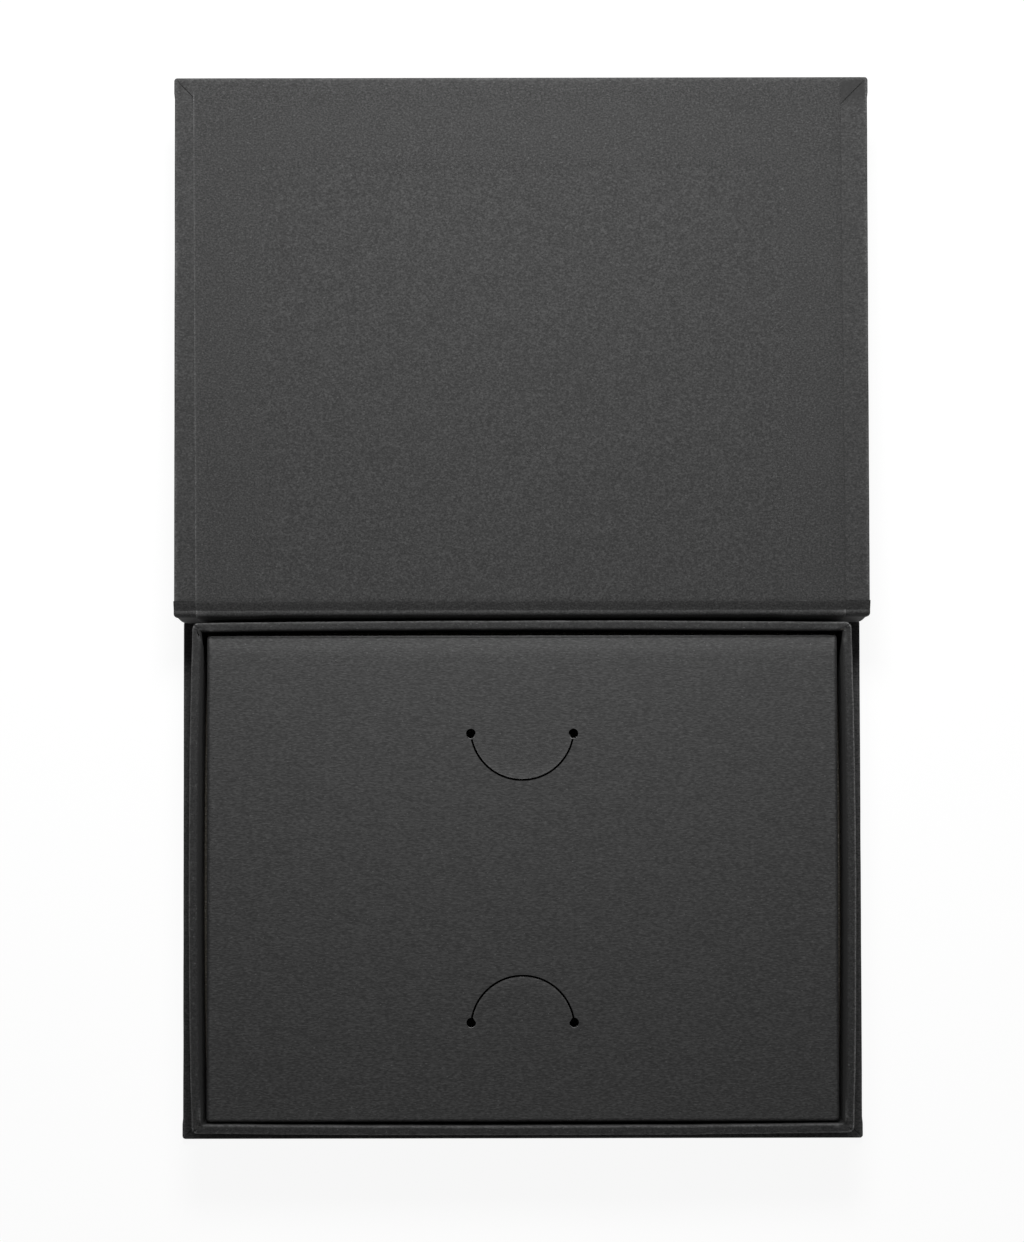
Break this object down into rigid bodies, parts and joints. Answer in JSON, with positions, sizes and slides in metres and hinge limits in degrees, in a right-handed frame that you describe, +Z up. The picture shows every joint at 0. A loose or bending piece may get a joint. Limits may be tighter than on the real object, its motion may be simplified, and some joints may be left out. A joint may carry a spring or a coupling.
{
  "type": "gift card box",
  "caption": "Small rigid box with a book-style lid, a wrapped tray and a card platform whose half-moon tabs hold a gift card.",
  "frame": {"origin": "middle of the footprint of base and spine, on the bottom face", "axes": "+X across the box, +Y towards the hinge and the opened lid, +Z up"},
  "size_m": [0.131, 0.2016, 0.023],
  "materials": {
    "greyboard": "matt grey pulp board",
    "cover_paper": "matt black dyed paper",
    "liner_paper": "matt black dyed paper",
    "stay_paper": "brown kraft paper",
    "platform_card": "matt black dyed card"
  },
  "bodies": {
    "box": {"base_board": "greyboard", "base_wrap": "cover_paper", "spine_board": "greyboard", "spine_wrap": "cover_paper", "spine_liner": "liner_paper", "hinge_wrap": "cover_paper", "hinge_liner": "liner_paper", "tray_board": "greyboard", "corner_stays": "stay_paper", "tray_wrap": "cover_paper", "platform_card": "platform_card"},
    "lid": {"lid_board": "greyboard", "lid_wrap": "cover_paper", "lid_liner": "liner_paper"},
    "upper_tab": {"upper_card_tab": "platform_card"},
    "lower_tab": {"lower_card_tab": "platform_card"}
  },
  "joints": [
    {"name": "lid_hinge", "type": "hinge", "parent": "box", "child": "lid", "pos_m": [0, 0.0506, 0.023], "axis": [1, 0, 0], "range_deg": [0, 180], "deforming": ["hinge_wrap", "hinge_liner"]},
    {"name": "upper_tab_bend", "type": "hinge", "parent": "box", "child": "upper_tab", "pos_m": [0, 0.02718, 0.021], "axis": [-1, 0, 0], "range_deg": [0, 12], "stiffness_Nm_per_rad": 0.0005},
    {"name": "lower_tab_bend", "type": "hinge", "parent": "box", "child": "lower_tab", "pos_m": [0, -0.02703, 0.021], "axis": [1, 0, 0], "range_deg": [0, 12], "stiffness_Nm_per_rad": 0.0005}
  ]
}
